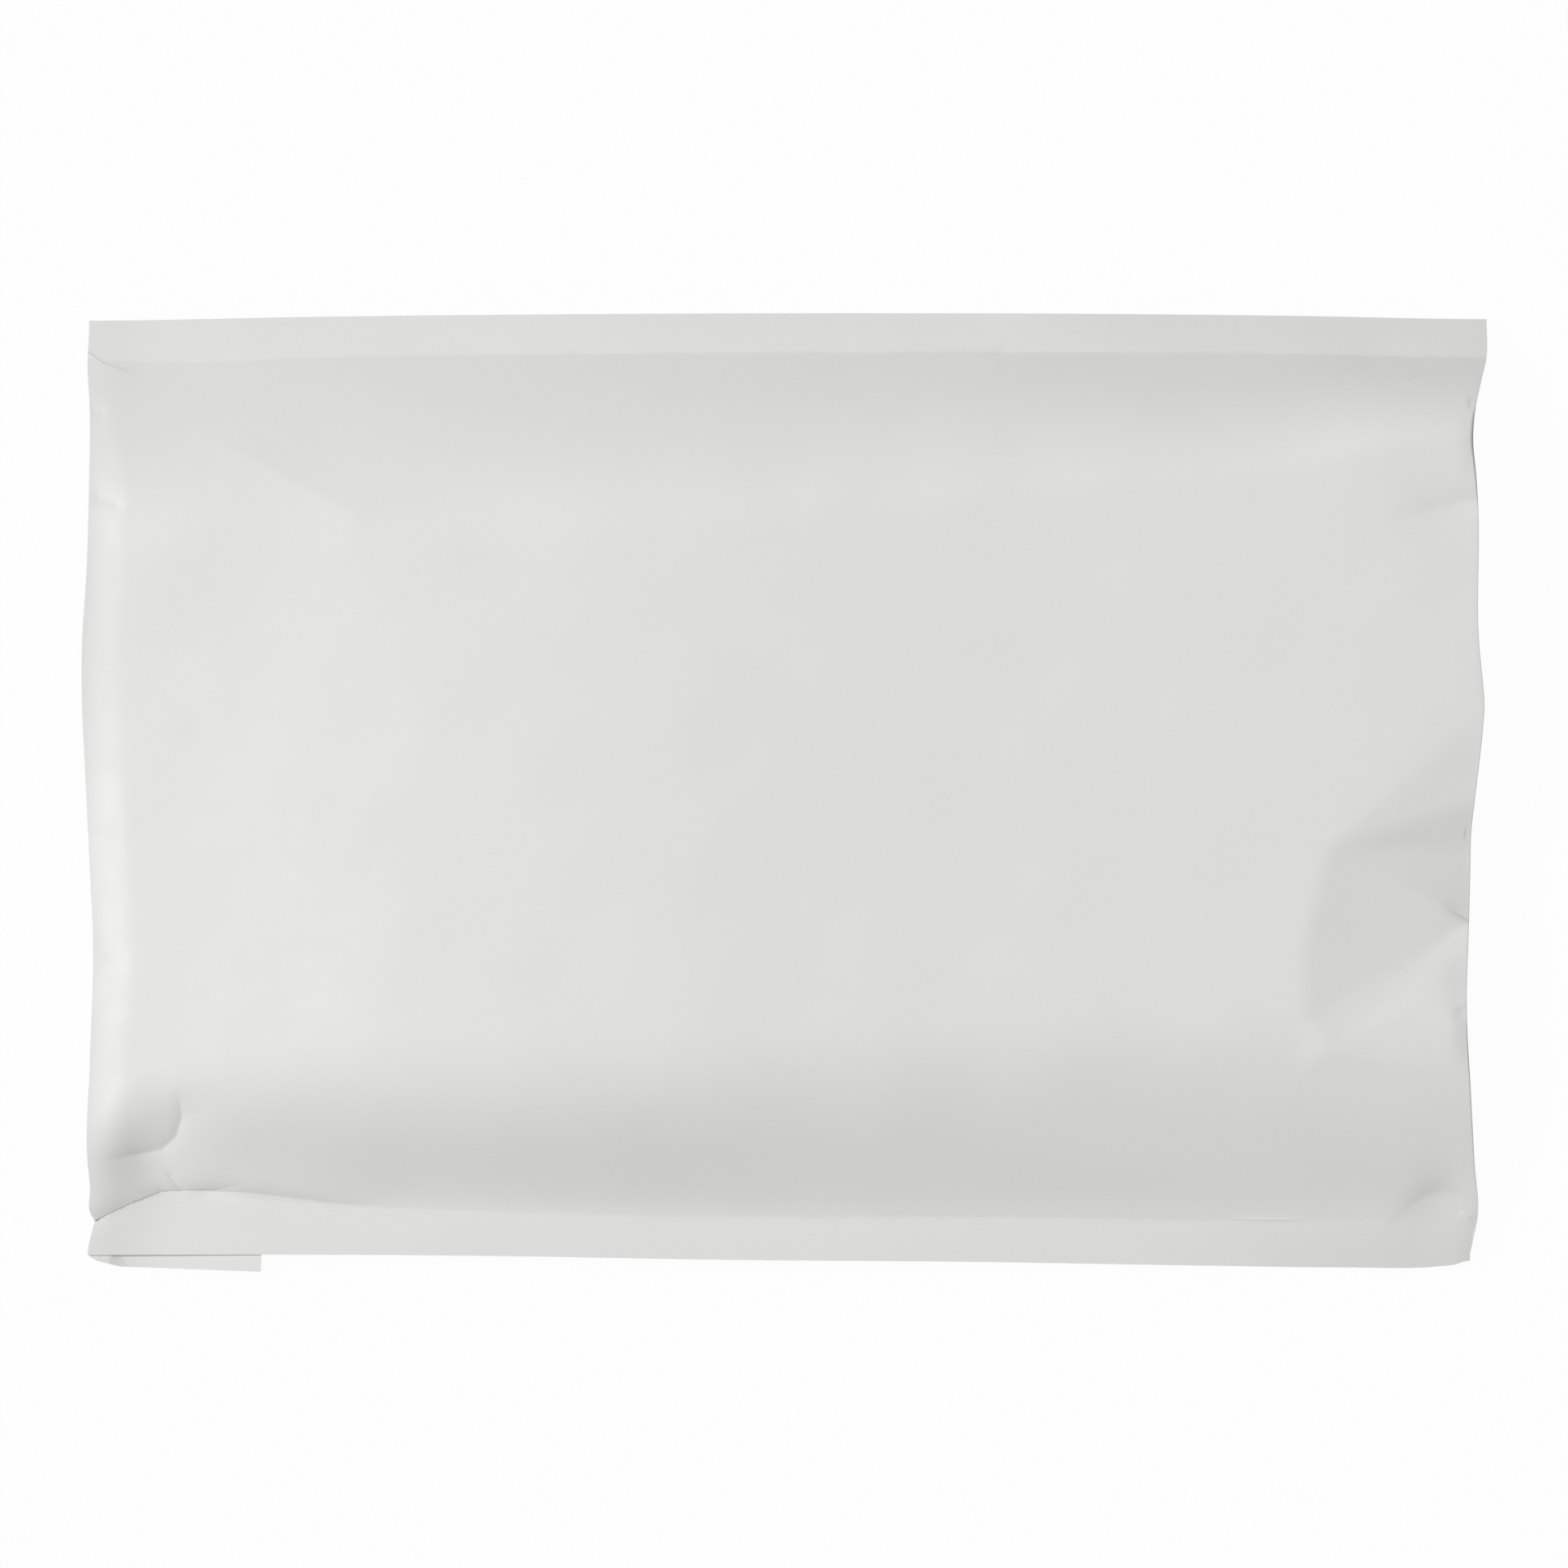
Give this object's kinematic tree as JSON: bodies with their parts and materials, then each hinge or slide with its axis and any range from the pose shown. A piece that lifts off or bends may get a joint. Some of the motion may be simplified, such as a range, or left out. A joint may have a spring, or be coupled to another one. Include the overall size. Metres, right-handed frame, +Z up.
{
  "type": "padded envelope",
  "caption": "Sealed, filled padded mailing envelope in plain white paper, puffed body between flat side seams, closure flap glued to its back, lying flat.",
  "frame": {"origin": "middle of the overall length and width, on the surface that the envelope lies on", "axes": "+X along the envelope from the flap end to the bottom fold, +Y across it, +Z up out of the plain front"},
  "size_m": [0.351, 0.2394, 0.0288],
  "materials": {
    "white_paper": "smooth uncoated white paper, slightly satin, softly creased"
  },
  "bodies": {
    "root": {"padded_envelope": "white_paper"}
  },
  "joints": []
}
